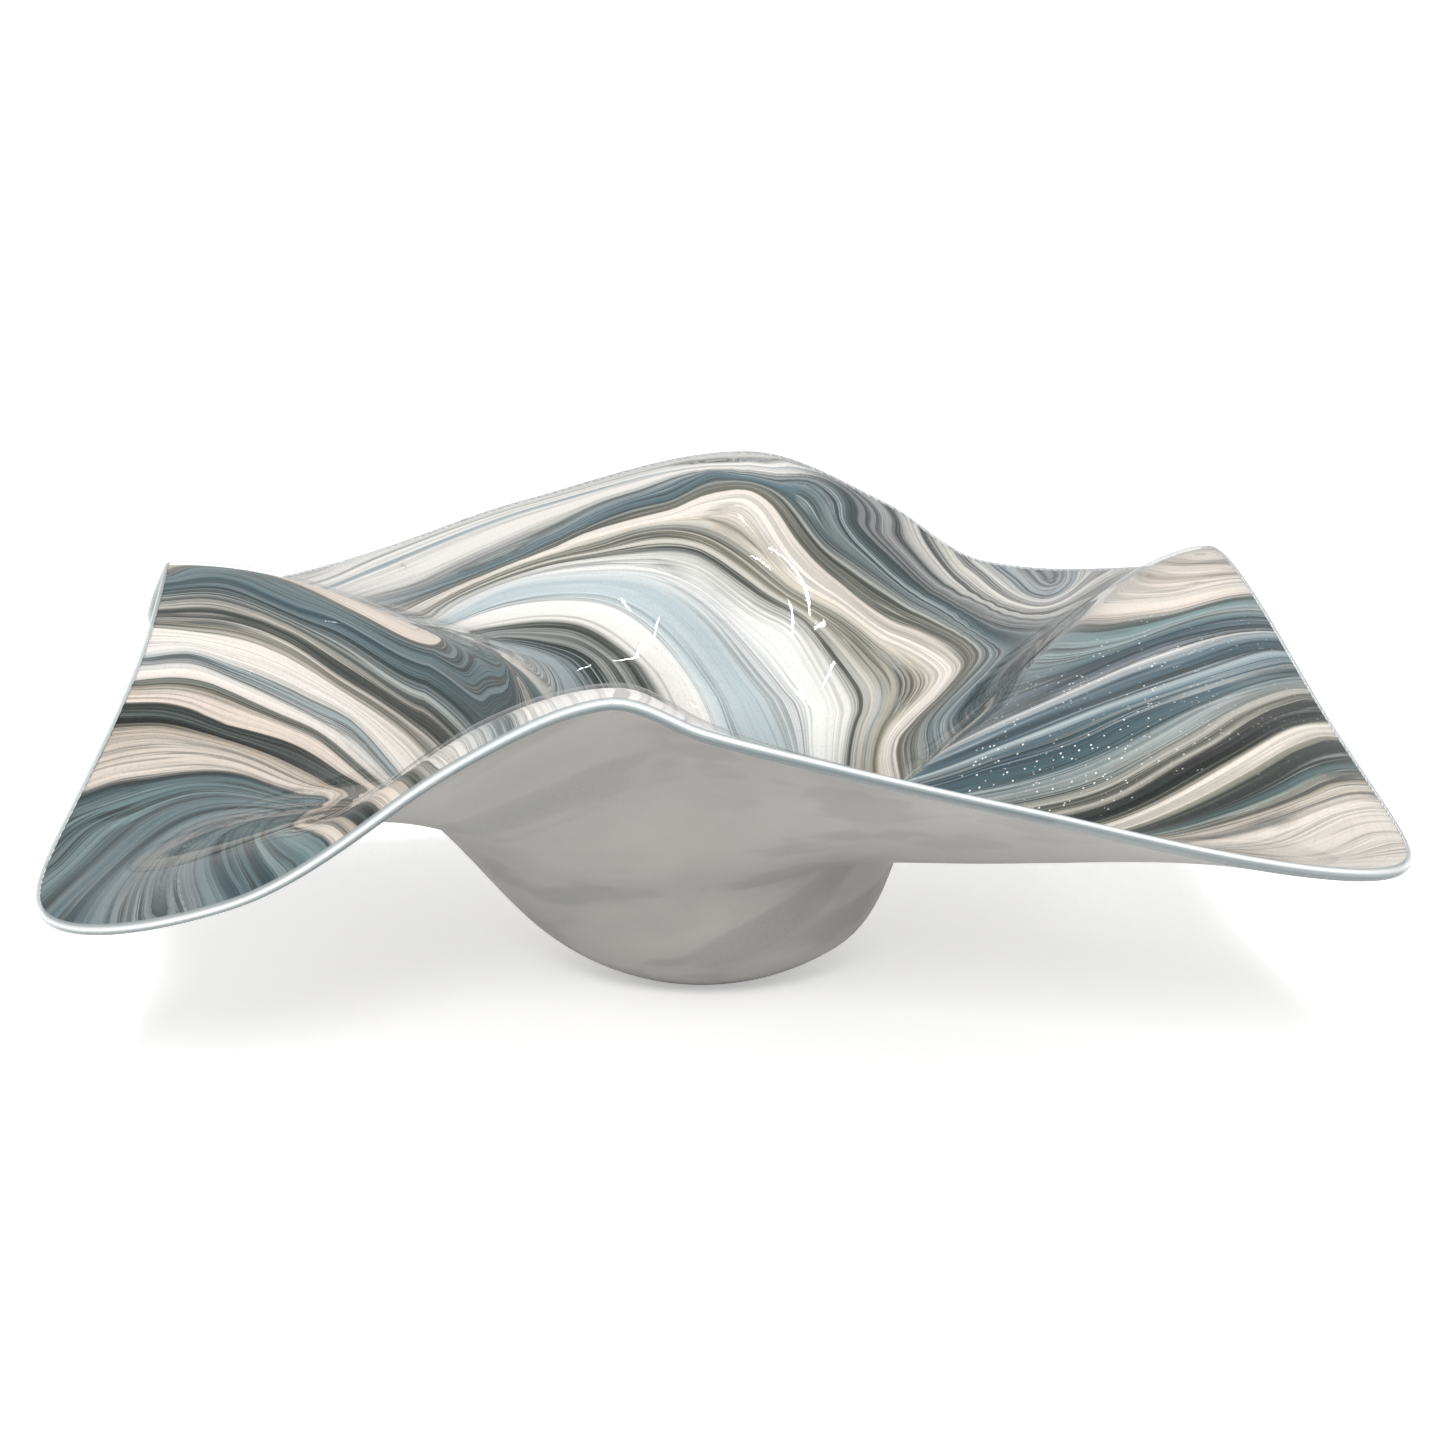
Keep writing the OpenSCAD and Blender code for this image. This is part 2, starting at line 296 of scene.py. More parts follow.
# The marbled layer: threads and bands of opaque white, cream, blue, slate and black glass, combed while soft,
# 1 mm thick on top of the grey. Every thread is a curve drawn on the flat sheet with its place in the stack
# of colours, and a smooth field through all of them gives each point of the sheet its place in the stack.
THREADS = [
    (0, [(-200, -13), (-192, 1), (-181, 6), (-171, 7), (-162, 4), (-150, 0), (-138, -2), (-126, -2),
         (-113, -1), (-103, 2), (-97, 7), (-97, 13), (-101, 22), (-108, 32), (-118, 50), (-124, 70),
         (-116, 86), (-98, 96), (-82, 97), (-68, 92), (-56, 80), (-40, 50)]),
    (12, [(-198, -20), (-180, -11), (-163, -13), (-150, -13), (-136, -10), (-113, -8), (-97, -4), (-89, 2),
          (-87, 10), (-90, 20), (-95, 40), (-102, 62), (-108, 80), (-103, 98), (-90, 104), (-74, 104),
          (-58, 102), (-42, 93), (-26, 78), (-5, 40), (0, 0)]),
    (25, [(-200, -31), (-184, -24), (-171, -22), (-154, -21), (-136, -20), (-113, -17), (-95, -12),
          (-80, -4), (-76, 10), (-84, 30), (-98, 55), (-113, 78), (-114, 92), (-105, 106), (-90, 113),
          (-72, 116), (-56, 115), (-42, 109), (-26, 100), (-12, 90), (8, 60), (18, 20), (8, -20)]),
    (38, [(-201, -47), (-183, -42), (-168, -38), (-151, -35), (-133, -32), (-113, -28), (-98, -26),
          (-82, -30), (-68, -50), (-62, -90), (-52, -140), (-38, -180), (-28, -216)]),
    (48, [(-202, -58), (-188, -50), (-175, -48), (-160, -45), (-143, -41), (-130, -37), (-118, -38),
          (-108, -44), (-100, -62), (-94, -100), (-86, -150), (-66, -188), (-56, -216)]),
    (56, [(-203, -65), (-187, -57), (-173, -55), (-158, -53), (-143, -50), (-132, -49), (-124, -53),
          (-118, -62), (-114, -85), (-113, -120), (-104, -160), (-84, -192), (-74, -216)]),
    (62, [(-204, -73), (-192, -66), (-180, -62), (-166, -61), (-155, -59), (-144, -56), (-136, -59),
          (-130, -68), (-130, -90), (-132, -120), (-122, -160), (-100, -195), (-90, -216)]),
    (74, [(-206, -84), (-195, -79), (-186, -77), (-175, -77), (-163, -74), (-155, -72), (-148, -73),
          (-142, -79), (-138, -86), (-141, -98), (-145, -115), (-144, -138), (-133, -165), (-113, -195),
          (-103, -216)]),
    (88, [(-209, -97), (-196, -90), (-185, -87), (-173, -85), (-163, -86), (-156, -91), (-151, -98),
          (-147, -101), (-146, -108), (-149, -122), (-149, -142), (-139, -168), (-120, -198),
          (-111, -216)]),
    (102, [(-216, -126), (-206, -117), (-196, -111), (-186, -105), (-177, -101), (-170, -101), (-164, -106),
           (-158, -114), (-153, -115), (-151, -122), (-154, -138), (-153, -152), (-143, -175), (-126, -200),
           (-118, -216)]),
    (112, [(-221, -160), (-213, -140), (-200, -126), (-188, -115), (-178, -111), (-170, -113), (-163, -121),
           (-157, -129), (-154, -134), (-159, -147), (-157, -163), (-145, -187), (-128, -216)]),
    (122, [(-217, -192), (-208, -165), (-200, -142), (-191, -127), (-179, -119), (-168, -122), (-160, -131),
           (-158, -138), (-166, -150), (-163, -168), (-150, -195), (-140, -216)]),
    (132, [(-203, -206), (-200, -180), (-195, -156), (-187, -138), (-177, -130), (-167, -132), (-162, -138),
           (-167, -147), (-173, -158), (-170, -176), (-160, -200), (-152, -217)]),
    (142, [(-183, -214), (-187, -190), (-188, -168), (-184, -149), (-176, -140), (-170, -142), (-174, -152),
           (-178, -168), (-176, -186), (-166, -217)]),
    (42, [(-70, 0), (-60, -20), (-48, -50), (-30, -90), (-10, -140), (5, -216)]),
    # threads that arch over the back, from the cup outwards
    (42, [(-135, 50), (-128, 80), (-120, 99), (-112, 114), (-99, 124), (-82, 129), (-60, 130), (-40, 128),
          (-19, 119), (-2, 106), (10, 94), (30, 60), (36, 10), (28, -50), (30, -120), (40, -214)]),
    (58, [(-140, 55), (-132, 85), (-121, 112), (-113, 125), (-100, 137), (-82, 144), (-56, 146), (-30, 147),
          (-12, 144), (7, 136), (25, 123), (40, 106), (50, 93), (60, 50), (60, 0), (52, -60), (66, -130),
          (92, -212)]),
    (66, [(-145, 60), (-137, 88), (-125, 112), (-119, 127), (-109, 138), (-93, 146), (-71, 152), (-49, 155),
          (-30, 157), (-15, 158), (-1, 156), (14, 149), (29, 142), (44, 137), (58, 126), (70, 114),
          (76, 99), (76, 70), (72, 10), (70, -50), (90, -120), (122, -168), (150, -212)]),
    (76, [(-148, 70), (-138, 98), (-129, 118), (-122, 130), (-109, 143), (-90, 152), (-67, 158), (-45, 163),
          (-30, 167), (-15, 168), (-1, 166), (12, 161), (25, 154), (38, 147), (53, 143), (68, 140),
          (82, 131), (92, 118), (94, 103), (91, 85), (84, 55), (80, 10), (80, -40), (98, -90), (130, -122),
          (152, -134), (165, -137), (175, -138), (186, -135), (197, -128), (207, -116), (215, -101),
          (226, -83)]),
    (90, [(-151, 85), (-139, 108), (-132, 125), (-124, 138), (-108, 149), (-86, 157), (-67, 163),
          (-52, 170), (-38, 173), (-23, 175), (-12, 177), (-1, 182), (10, 185), (21, 186), (31, 181),
          (40, 171), (51, 163), (66, 157), (81, 155), (94, 152), (107, 143), (116, 132), (120, 121),
          (117, 109), (110, 95), (101, 80), (93, 62), (88, 25), (88, -25), (104, -68), (124, -92),
          (145, -105), (162, -113), (174, -113), (185, -105), (195, -95), (202, -82), (210, -66),
          (221, -52)]),
    (100, [(-155, 95), (-144, 115), (-135, 133), (-120, 146), (-101, 154), (-79, 161), (-60, 169),
           (-45, 176), (-30, 180), (-15, 181), (-6, 185), (3, 190), (16, 191), (29, 190), (37, 187),
           (44, 181), (53, 173), (68, 169), (82, 168), (96, 164), (107, 156), (118, 145), (126, 132),
           (127, 120), (121, 106), (113, 92), (104, 75), (98, 50), (96, 15), (98, -20), (110, -52),
           (124, -66), (138, -72), (152, -77), (163, -77), (175, -70), (187, -58), (197, -48), (208, -38),
           (218, -29)]),
    (112, [(-162, 110), (-152, 126), (-142, 142), (-124, 152), (-104, 161), (-82, 168), (-64, 176),
           (-50, 184), (-38, 188), (-25, 190), (-13, 194), (-4, 197), (7, 198), (20, 196), (31, 197),
           (40, 203), (47, 207), (55, 206), (60, 199), (61, 190), (68, 182), (81, 177), (96, 173),
           (107, 166), (118, 152), (129, 138), (136, 124), (134, 112), (127, 98), (117, 83), (108, 66),
           (105, 40), (106, 5), (110, -22), (117, -37), (127, -45), (137, -48), (148, -47), (160, -40),
           (170, -33), (184, -26), (198, -17), (214, -8)]),
    (120, [(-168, 125), (-158, 142), (-148, 156), (-130, 165), (-108, 174), (-86, 181), (-62, 189),
           (-45, 194), (-25, 196), (-4, 200), (20, 199), (32, 201), (42, 208), (52, 212), (62, 208),
           (66, 200), (66, 192), (73, 186), (86, 182), (101, 176), (114, 166), (127, 151), (139, 138),
           (146, 124), (141, 108), (130, 92), (121, 72), (119, 45), (120, 15), (128, -8), (140, -24),
           (152, -26), (165, -22), (180, -16), (196, -10), (213, -2)]),
    (134, [(-180, 150), (-165, 160), (-149, 174), (-132, 182), (-112, 189), (-86, 195), (-60, 199),
           (-30, 201), (-3, 202), (18, 201), (30, 203), (37, 208), (48, 214), (60, 214), (71, 207),
           (74, 200), (74, 192), (82, 188), (94, 183), (108, 175), (122, 162), (138, 148), (151, 136),
           (157, 122), (150, 100), (142, 76), (139, 50), (141, 30), (148, 8), (158, -6), (170, -11),
           (182, -8), (195, -2), (212, 7)]),
    (146, [(-188, 165), (-160, 181), (-141, 193), (-114, 201), (-86, 206), (-58, 209), (-30, 210),
           (-3, 210), (10, 208), (25, 210), (36, 217)]),
    (146, [(76, 213), (82, 205), (82, 197), (90, 192), (101, 186), (116, 177), (130, 163), (143, 151),
           (155, 140), (166, 132), (166, 110), (158, 80), (153, 52), (157, 28), (164, 12), (173, 5),
           (184, 2), (194, 6), (203, 13), (212, 21)]),
    (158, [(88, 213), (90, 206), (94, 200), (104, 192), (116, 180), (133, 163), (144, 154), (154, 148),
           (166, 150), (178, 140), (178, 115), (172, 85), (165, 55), (167, 35), (173, 22), (184, 14),
           (196, 18), (207, 28)]),
    (168, [(98, 209), (106, 199), (115, 190), (124, 178), (139, 163), (150, 156), (160, 157), (170, 170),
           (182, 188)]),
    (178, [(112, 206), (120, 198), (127, 187), (135, 176), (146, 165), (154, 163), (161, 170), (168, 185),
           (176, 200)]),
    (190, [(130, 204), (137, 193), (143, 180), (151, 173), (157, 178), (160, 190), (160, 203)]),
    (200, [(143, 204), (148, 190), (153, 187), (155, 196), (154, 204)]),
    (170, [(182, 100), (182, 70), (186, 45), (195, 38), (206, 45)]),
    (180, [(192, 100), (192, 75), (197, 60), (204, 62)]),
    (160, [(190, 150), (196, 130), (192, 100)]),
    (66, [(165, -147), (172, -149), (186, -151), (198, -148), (208, -142), (217, -132), (223, -122),
          (230, -115)]),
    (58, [(168, -165), (180, -168), (192, -172), (202, -170), (211, -160), (221, -145), (230, -134)]),
    (50, [(172, -192), (186, -194), (202, -196), (216, -188), (231, -165)]),
    (44, [(180, -211), (200, -211), (224, -200)]),
    # cream lobe behind the left fold
    (-10, [(-202, 10), (-185, 20), (-165, 18), (-140, 12), (-112, 10), (-108, 16), (-115, 28), (-128, 45),
           (-140, 60)]),
    (-25, [(-202, 35), (-180, 38), (-150, 30), (-130, 28), (-132, 38), (-150, 55), (-160, 75), (-175, 100),
           (-190, 120)]),
    (-40, [(-203, 60), (-190, 62), (-170, 60), (-175, 80), (-195, 100)])
]


def drawn(points, step=9.0):
    """Places about step apart along a thread, on the Catmull-Rom curve through its points."""
    p = np.array(points, float)
    p = np.vstack([2 * p[0] - p[1], p, 2 * p[-1] - p[-2]])
    found = []
    for a, b, c, d in zip(p, p[1:], p[2:], p[3:]):
        t = np.linspace(0, 1, max(2, int(np.hypot(*(c - b)) / step) + 1), endpoint=False)[:, None]
        found.append(0.5 * (2 * b + (c - a) * t + (2 * a - 5 * b + 4 * c - d) * t ** 2
                            + (3 * b - a - 3 * c + d) * t ** 3))
    return np.vstack(found + [p[-2:-1]])


def combed(x, y):
    """Place in the stack of colours at (x, y) of the flat sheet in millimetres: a plane plus a weighted sum
    of -sqrt(distance^2 + 3^2) to every drawn place. The weights are solved so that it meets them all, nearly:
    a slight give of 3e-4 keeps threads that are drawn close together from fighting."""
    sheet_unit, corner, give, batch = 100, 0.03, 3e-4, 4000
    runs = [drawn(points) for _, points in THREADS]
    anchor = np.vstack(runs) / sheet_unit
    value = np.concatenate([np.full(len(r), float(v)) for (v, _), r in zip(THREADS, runs)])
    n = len(anchor)

    def bell(q):
        gap = (q ** 2).sum(-1)[:, None] + (anchor ** 2).sum(-1) - 2 * q @ anchor.T
        return -np.sqrt(np.maximum(gap, 0) + corner ** 2)

    system = np.zeros((n + 3, n + 3))
    system[:n, :n] = bell(anchor) + give * np.eye(n)
    system[:n, n], system[n, :n] = 1, 1
    system[:n, n + 1:], system[n + 1:, :n] = anchor, anchor.T
    weight = np.linalg.solve(system, np.concatenate([value, np.zeros(3)]))
    q = np.stack([x.ravel(), y.ravel()], -1) / sheet_unit
    parts = [bell(part) @ weight[:n] + weight[n] + part @ weight[n + 1:]
             for part in np.array_split(q, 1 + len(q) // batch)]
    return np.concatenate(parts).reshape(x.shape)


def flat(run):
    """Where each point of the run lies on the flat sheet, in millimetres: the cup takes the first 0.26 of the
    distance to the rim, the wall 0.22 and the brim the rest."""
    share = np.interp(run, (0, 1, 2, 3), (0, 0.26, 0.48, 1))[:, None]
    return share * RIM_R * np.cos(ANGLE) * 1000, share * RIM_R * np.sin(ANGLE) * 1000


def soft(x, low, high):
    """0 below low, 1 above high and a smooth step from one to the other."""
    t = np.clip((x - low) / (high - low), 0, 1)
    return t * t * (3 - 2 * t)


# The stacks of colour for the parts of the sheet: place in the stack, then red, green and blue from 0 to
# 255 as the eye sees them
LEFT_WING = [
    (-40, 224, 212, 203), (-3, 222, 209, 199), (-0.5, 96, 94, 88), (2, 112, 132, 138),
    (10, 104, 127, 134), (12, 66, 82, 90), (14, 104, 124, 131), (17, 72, 88, 95), (20, 120, 138, 143),
    (23, 185, 188, 186), (24.5, 74, 80, 80), (27, 200, 194, 186), (29, 80, 84, 80), (32, 216, 208, 200),
    (34, 118, 112, 100), (36, 230, 222, 216), (46, 238, 231, 227), (50, 160, 173, 178),
    (58, 237, 229, 224), (61, 92, 94, 80), (62.2, 46, 48, 40), (63.4, 150, 142, 128), (65, 224, 210, 200),
    (72, 222, 208, 197), (73.2, 60, 62, 52), (76, 28, 36, 32), (79, 84, 98, 92), (80.5, 34, 40, 34),
    (83.5, 40, 44, 36), (86, 194, 180, 165), (100, 224, 212, 202), (102, 58, 68, 74)]
LEFT_CORNER = [
    (102, 44, 56, 62), (103.5, 88, 110, 116), (108, 126, 148, 150), (111.5, 100, 122, 127),
    (116, 130, 150, 152), (119, 96, 117, 123), (121, 60, 80, 88), (124, 98, 120, 127),
    (128, 110, 130, 136), (130, 62, 80, 88), (133, 104, 122, 128), (136.5, 134, 146, 149),
    (138, 84, 98, 105), (141, 150, 158, 160), (144, 122, 132, 136), (146, 84, 100, 108),
    (149, 60, 78, 86), (154, 88, 108, 116), (158, 52, 68, 76), (165, 104, 122, 128)]
BACK_WALL = [
    (0, 150, 160, 165), (5, 66, 82, 88), (11, 52, 58, 56), (14, 160, 163, 160), (16.5, 50, 55, 52),
    (19, 170, 170, 164), (21.5, 58, 60, 54), (24.5, 128, 128, 120), (28, 222, 219, 216),
    (40, 238, 234, 232), (43.5, 200, 210, 215), (52, 180, 194, 201), (59, 230, 229, 228),
    (64.5, 222, 220, 216), (66.5, 132, 131, 118), (68.5, 214, 209, 200), (71, 106, 104, 88),
    (73, 196, 190, 178), (75.5, 100, 98, 82), (79, 216, 206, 192), (83, 237, 229, 223),
    (88, 230, 221, 213), (90, 92, 90, 76), (92.5, 182, 177, 166), (95, 84, 84, 75), (98, 160, 162, 156),
    (100, 58, 72, 76), (104, 98, 123, 132), (110, 84, 108, 118), (113, 150, 155, 156),
    (119, 226, 222, 219), (132, 236, 231, 228)]
BACK_RIM = [
    (132, 238, 233, 230), (134.5, 236, 232, 230), (136, 176, 186, 192), (138.5, 164, 176, 183),
    (140, 234, 231, 229), (144, 238, 234, 232), (146, 150, 154, 155), (147.5, 226, 222, 219),
    (156, 215, 212, 210)]
SWIRL = [
    (96, 88, 90, 84), (99, 150, 152, 148), (101, 66, 76, 78), (105, 122, 132, 134), (109, 60, 82, 92),
    (113, 98, 120, 128), (117, 54, 75, 86), (121, 112, 128, 134), (125, 140, 140, 143), (128, 84, 88, 92),
    (132, 146, 146, 148), (135, 92, 95, 98), (139, 130, 131, 134), (143, 172, 170, 170),
    (146, 104, 107, 110), (150, 120, 122, 124), (154, 206, 202, 199), (160, 228, 223, 219),
    (163.5, 96, 100, 100), (168, 190, 188, 185), (175, 226, 221, 216), (178, 112, 116, 120),
    (181, 206, 204, 202), (185, 216, 214, 212), (187, 104, 120, 134), (190, 132, 146, 158),
    (196, 168, 170, 172), (204, 136, 142, 150)]
RIGHT_WING = [
    (44, 230, 219, 211), (60, 233, 223, 215), (63, 186, 173, 160), (65, 228, 218, 208),
    (67, 138, 130, 116), (68.5, 198, 194, 184), (70, 104, 130, 130), (72.5, 40, 50, 45), (76, 46, 54, 48),
    (78, 150, 148, 136), (79, 226, 218, 206), (83, 233, 225, 215), (84.7, 120, 118, 104),
    (85.5, 36, 39, 33), (89.6, 40, 44, 38), (90.6, 200, 196, 186), (91.8, 80, 82, 74),
    (93, 196, 193, 186), (94, 84, 88, 84), (95.2, 158, 165, 164), (97, 96, 120, 128), (100, 62, 84, 96),
    (102, 100, 126, 138), (103.2, 158, 174, 181), (104.2, 84, 108, 120), (105.5, 78, 102, 115),
    (110, 102, 124, 138), (111.2, 148, 152, 156), (112.5, 222, 221, 221), (114.5, 130, 138, 146),
    (118, 56, 76, 90)]
RIGHT_LOBE = [
    (118, 56, 76, 90), (121, 88, 112, 126), (124.5, 48, 68, 80), (128, 112, 138, 146),
    (134, 148, 168, 171), (142, 122, 145, 146), (144.5, 74, 80, 72), (147, 150, 142, 130),
    (149, 226, 213, 202), (158, 236, 226, 217), (166, 232, 220, 210), (168.5, 184, 168, 154),
    (171, 236, 226, 217), (178, 186, 171, 158), (182, 236, 226, 217)]

# Where each stack of colours holds, from 0 to 1, by smooth steps over the flat sheet in millimetres. slack is
# 1 where the threads lie far apart, and silver where the flecks are.
colour_run = rings(30, 36, 66)
x, y = flat(colour_run)
stack = combed(x, y)
in_swirl = np.maximum(soft(x, 34, 62), soft(x, 60, 100)) * soft(y, 20, 60) * soft(stack, 97, 101)
in_left = np.maximum((1 - soft(x, -95, -60)) * (1 - soft(y, 60, 100)),
                     (1 - soft(x, -60, -30)) * (1 - soft(y, -60, -20)))
in_right = np.maximum.reduce([soft(x, 92, 118) * (1 - soft(y, 48, 84)),
                              soft(x, 60, 100) * (1 - soft(y, -60, -20)),
                              soft(x, 150, 165) * (1 - soft(y, 105, 135))])
step_out = np.hypot(np.gradient(x, axis=0), np.gradient(y, axis=0))
step_round = np.hypot(np.roll(x, -1, 1) - np.roll(x, 1, 1), np.roll(y, -1, 1) - np.roll(y, 1, 1))
crowding = np.hypot(np.gradient(stack, axis=0) / step_out,
                    (np.roll(stack, -1, 1) - np.roll(stack, 1, 1)) / step_round)
slack = 1 - soft(crowding, 0.28, 0.75)
silver = soft(x, 95, 125) * (1 - soft(y, -20, 20)) * soft(y, -135, -95) * (1 - 0.75 * soft(x, 165, 205))

marbled_glass, mix, out = recipe("marbled_glass")
place = mix.node("ShaderNodeTexCoord", output=3)
apart = mix.node("ShaderNodeSeparateXYZ", {0: place})
east, north = apart, Mix(mix.tree, apart.socket.node.outputs[1])


def painted(name):
    """The value of one of the layer's painted attributes."""
    return mix.node("ShaderNodeAttribute", output=2, attribute_name=name)


place_in_stack, loose = painted("stack"), painted("slack")
calm = 1 - loose * 0.86
wander = mix.node("ShaderNodeTexNoise", {0: place, "Scale": 14.0, "Detail": 1.0})
level = place_in_stack + (wander - 0.5) * calm * 0.9


def across_threads(fineness, along):
    """Noise drawn out along the threads: the first axis is the place in the stack, and the others move
    slowly over the sheet. Where the stack is spread wide it is 3.5 times as fine."""
    def noise(times):
        where = mix.node("ShaderNodeCombineXYZ", {0: level * (fineness * times), 1: east * along,
                                                  2: north * along})
        return mix.node("ShaderNodeTexNoise", {0: where, "Scale": 1.0, "Detail": 2.0, "Roughness": 0.6})
    close = noise(1.0)
    return close + (noise(3.5) - close) * loose


broad, narrow = across_threads(0.28, 3.0), across_threads(0.95, 4.0)
level = level + (broad - 0.5) * calm * 2.6 + (narrow - 0.5) * calm * 3.6


def under_glass(red, green, blue):
    """The colour as it is under the clear glass: light ^ 1.06, times the casing's tint, less the 0.02 that
    the casing mirrors and never under 0.002, then a tenth of the way to its own mean."""
    deepening, tint, mirrored, greying = 1.06, (0.99, 0.99, 0.965), 0.02, 0.10
    c = np.maximum(np.array(light_of(red, green, blue)[:3]) ** deepening * tint - mirrored, 0.002)
    return (*(c + (c.mean() - c) * greying).tolist(), 1.0)


def stacked(stops):
    """A colour ramp over the stack from its first place to its last."""
    low, high = stops[0][0], stops[-1][0]
    t = (level - low) * (1 / (high - low))
    return mix.node("ShaderNodeValToRGB", {0: t}, stops=[
        ((s[0] - low) / (high - low), under_glass(*s[1:])) for s in stops])


def joined(stops, further_stops):
    """One stack carried on by a second from the second's first place, because a ramp holds 32 stops."""
    joint = further_stops[0][0]
    return level.between(joint - 0.01, joint + 0.01).blend(stacked(stops), stacked(further_stops))


colour = painted("in_swirl").blend(joined(BACK_WALL, BACK_RIM), stacked(SWIRL))
colour = painted("in_right").blend(colour, joined(RIGHT_WING, RIGHT_LOBE))
colour = painted("in_left").blend(colour, joined(LEFT_WING, LEFT_CORNER))

def thread(fineness, along, middle, width):
    """1 along the threads where the noise passes its middle value, 0 away from them."""
    off = across_threads(fineness, along) - middle
    return 1 - off.math("ABSOLUTE", off).between(width * 0.35, width)


# Fine dark and pale threads, the colour's own unevenness along them, and its grain. Pale glass takes less.
brightness = mix.node("ShaderNodeRGBToBW", {0: colour})
pale_enough = brightness.between(0.42, 0.66)
dark_thread = thread(0.50, 3.0, 0.5, 0.075) * across_threads(0.14, 4.0).between(0.42, 0.56)
colour = (dark_thread * (0.85 - pale_enough * 0.52)).blend(colour, light_of(40, 44, 40))
dark_thread = thread(0.85, 4.0, 0.46, 0.075) * across_threads(0.2, 3.0).between(0.45, 0.6)
colour = (dark_thread * (0.80 - pale_enough * 0.38)).blend(colour, light_of(50, 56, 54))
pale_thread = thread(0.7, 3.5, 0.52, 0.07) * across_threads(0.17, 3.0).between(0.46, 0.62)
pale_thread = pale_thread * (1 - pale_enough) * (0.50 - painted("in_left") * 0.32)
colour = pale_thread.blend(colour, light_of(198, 202, 200))
uneven = across_threads(0.5, 8.0).between(0.35, 0.8)
colour = (uneven * 0.22 * (1 - pale_enough * 0.75)).blend(colour, light_of(52, 62, 66))
grain = mix.node("ShaderNodeTexNoise", {0: place, "Scale": 1100.0, "Detail": 1.0})
colour = (grain.between(0.55, 0.72) * 0.13).blend(colour, light_of(96, 98, 88))

# Silver flecks caught between the colours of the right wing
cell = mix.node("ShaderNodeTexVoronoi", {0: place, "Scale": 400.0, "Randomness": 1.0})
chance = mix.node("ShaderNodeTexNoise", {0: place, "Scale": 60.0, "Detail": 2.0}).between(0.44, 0.56)
fleck = (1 - cell.between(0.13, 0.20)) * chance * painted("silver")
colour = fleck.blend(colour, light_of(238, 241, 242))
glass = mix.node("ShaderNodeBsdfPrincipled", {
    "Base Color": colour, "Roughness": 0.5 - fleck * 0.25, "IOR": 1.5, "Specular IOR Level": 0.12})
mix.tree.links.new(glass.socket, out.inputs[0])

lower_run = rings(12, 14, 26)
marbled = blown("marbled_colour_glass", skin(colour_run, BACKING + COLOUR), skin(lower_run, BACKING),
                (0, 0, CUP_FLOOR + BACKING + COLOUR), (0, 0, CUP_FLOOR + BACKING), [marbled_glass])
# The top skin comes first among the points, and the hidden ones take the mean of its innermost ring
for name, value in (("stack", stack), ("in_swirl", in_swirl), ("in_left", in_left), ("in_right", in_right),
                    ("silver", silver), ("slack", slack)):
    everywhere = np.zeros(len(marbled.data.vertices))
    everywhere[:value.size] = value.ravel()
    everywhere[value.size:] = value[0].mean()
    attribute = marbled.data.attributes.new(name, "FLOAT", "POINT")
    attribute.data.foreach_set("value", everywhere.astype(np.float32))
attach(marbled, "root")
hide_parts("marbled_layer")

# The clear casing: a coat of clear glass over the colours, 1.6 mm thick. It gives the bowl its wet shine,
# and thins where it rounds over to the edge.
casing_finish, mix, out = recipe("clear_casing_glass")
ripple = mix.node("ShaderNodeTexNoise", {0: mix.node("ShaderNodeTexCoord", output=3), "Scale": 16.0,
                                         "Detail": 1.0})
bump = mix.node("ShaderNodeBump", {"Height": ripple, "Strength": 0.14, "Distance": 0.0012})
fresnel = mix.node("ShaderNodeFresnel", {"IOR": 1.5, "Normal": bump})
outer = mix.node("ShaderNodeNewGeometry", output=6)
through = mix.node("ShaderNodeBsdfTransparent", {0: (0.985, 0.99, 0.99, 1)})
shine = mix.node("ShaderNodeBsdfGlossy", {"Roughness": 0.03, "Normal": bump})
clear = mix.node("ShaderNodeMixShader", {0: fresnel * (1 - outer), 1: through, 2: shine})
mix.tree.links.new(clear.socket, out.inputs[0])

# Its top thins by up to 0.6 mm over the last 0.07 of the run, as the square of the way to the rim
casing_run = rings(24, 28, 56)
ROUNDING, ROUNDING_RUN = 0.0006, 0.07
rounding = np.clip((casing_run - 3 + ROUNDING_RUN) / ROUNDING_RUN, 0, 1) ** 2 * ROUNDING
casing = blown("clear_casing_glass", skin(casing_run, BACKING + COLOUR + CASING - rounding),
               skin(lower_run, BACKING + COLOUR), (0, 0, CUP_FLOOR + BACKING + COLOUR + CASING),
               (0, 0, CUP_FLOOR + BACKING + COLOUR), [casing_finish])
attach(casing, "root")
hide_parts("clear_casing")

# The lip: clear glass that ran together over the cut edge when it was fire-polished, a half round bead
# about 4.4 mm across all the way round.
lip_glass_painted_light, mix, out = recipe("fire_polished_lip_glass_painted_light")
fresnel = mix.node("ShaderNodeFresnel", {"IOR": 1.5})
down = mix.node("ShaderNodeAttribute", output=2, attribute_name="down")
# The bead's colour by "down" is painted light. The white band near its top is a painted highlight, the line
# of lamp light along the lip. The greys beneath it are partly the layers' edges seen through the bead and
# partly painted shade on its underside.
tint = mix.node("ShaderNodeValToRGB", {0: down}, stops=[
    (0.0, light_of(132, 138, 139)), (0.16, light_of(164, 171, 172)), (0.27, light_of(236, 240, 240)),
    (0.37, light_of(240, 243, 243)), (0.46, light_of(158, 168, 170)), (0.60, light_of(98, 110, 113)),
    (0.78, light_of(120, 128, 129)), (1.0, light_of(166, 168, 166))])
through = mix.node("ShaderNodeBsdfTransparent", {0: (0.93, 0.95, 0.95, 1)})
shine = mix.node("ShaderNodeBsdfGlossy", {"Roughness": 0.12})
body = mix.node("ShaderNodeBsdfDiffuse", {0: tint})
